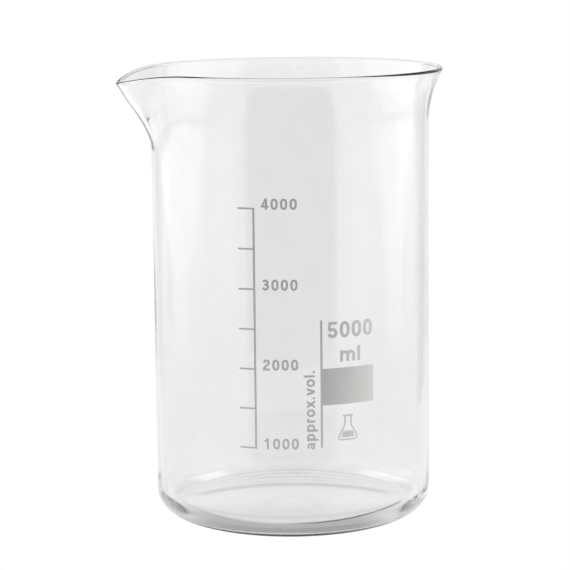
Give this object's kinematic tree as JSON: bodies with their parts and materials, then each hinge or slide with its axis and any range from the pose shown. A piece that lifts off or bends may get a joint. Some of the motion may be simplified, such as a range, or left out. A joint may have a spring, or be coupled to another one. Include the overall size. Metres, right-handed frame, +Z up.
{
  "type": "laboratory beaker",
  "caption": "Low-form glass beaker with a flared rim, a pouring spout, a volume scale and a writing panel.",
  "frame": {"origin": "centre of the flat underside, on the vessel's axis", "axes": "+Z up along the vessel's axis, -X towards the spout, -Y towards the printed scale and label"},
  "size_m": [0.2004, 0.1864, 0.2745],
  "materials": {
    "borosilicate_glass": "clear, fire-polished",
    "print_enamel": "opaque grey fired enamel, satin",
    "panel_enamel": "opaque warm-grey fired enamel, matt, takes pencil"
  },
  "bodies": {
    "root": {"capacity_5000_01_5": "print_enamel", "capacity_5000_02_0": "print_enamel", "capacity_5000_03_0": "print_enamel", "capacity_5000_04_0": "print_enamel", "emblem_flask": "print_enamel", "emblem_liquid": "print_enamel", "glass_vessel": "borosilicate_glass", "graduation_scale": "print_enamel", "label_rule": "print_enamel", "note_approx_vol_01_a": "print_enamel", "note_approx_vol_02_p": "print_enamel", "note_approx_vol_03_p": "print_enamel", "note_approx_vol_04_r": "print_enamel", "note_approx_vol_05_o": "print_enamel", "note_approx_vol_06_x": "print_enamel", "note_approx_vol_07_stop": "print_enamel", "note_approx_vol_08_v": "print_enamel", "note_approx_vol_09_o": "print_enamel", "note_approx_vol_10_l": "print_enamel", "note_approx_vol_11_stop": "print_enamel", "scale_1000_01_1": "print_enamel", "scale_1000_02_0": "print_enamel", "scale_1000_03_0": "print_enamel", "scale_1000_04_0": "print_enamel", "scale_2000_01_2": "print_enamel", "scale_2000_02_0": "print_enamel", "scale_2000_03_0": "print_enamel", "scale_2000_04_0": "print_enamel", "scale_3000_01_3": "print_enamel", "scale_3000_02_0": "print_enamel", "scale_3000_03_0": "print_enamel", "scale_3000_04_0": "print_enamel", "scale_4000_01_4": "print_enamel", "scale_4000_02_0": "print_enamel", "scale_4000_03_0": "print_enamel", "scale_4000_04_0": "print_enamel", "unit_ml_01_m": "print_enamel", "unit_ml_02_l": "print_enamel", "writing_panel": "panel_enamel"}
  },
  "joints": []
}
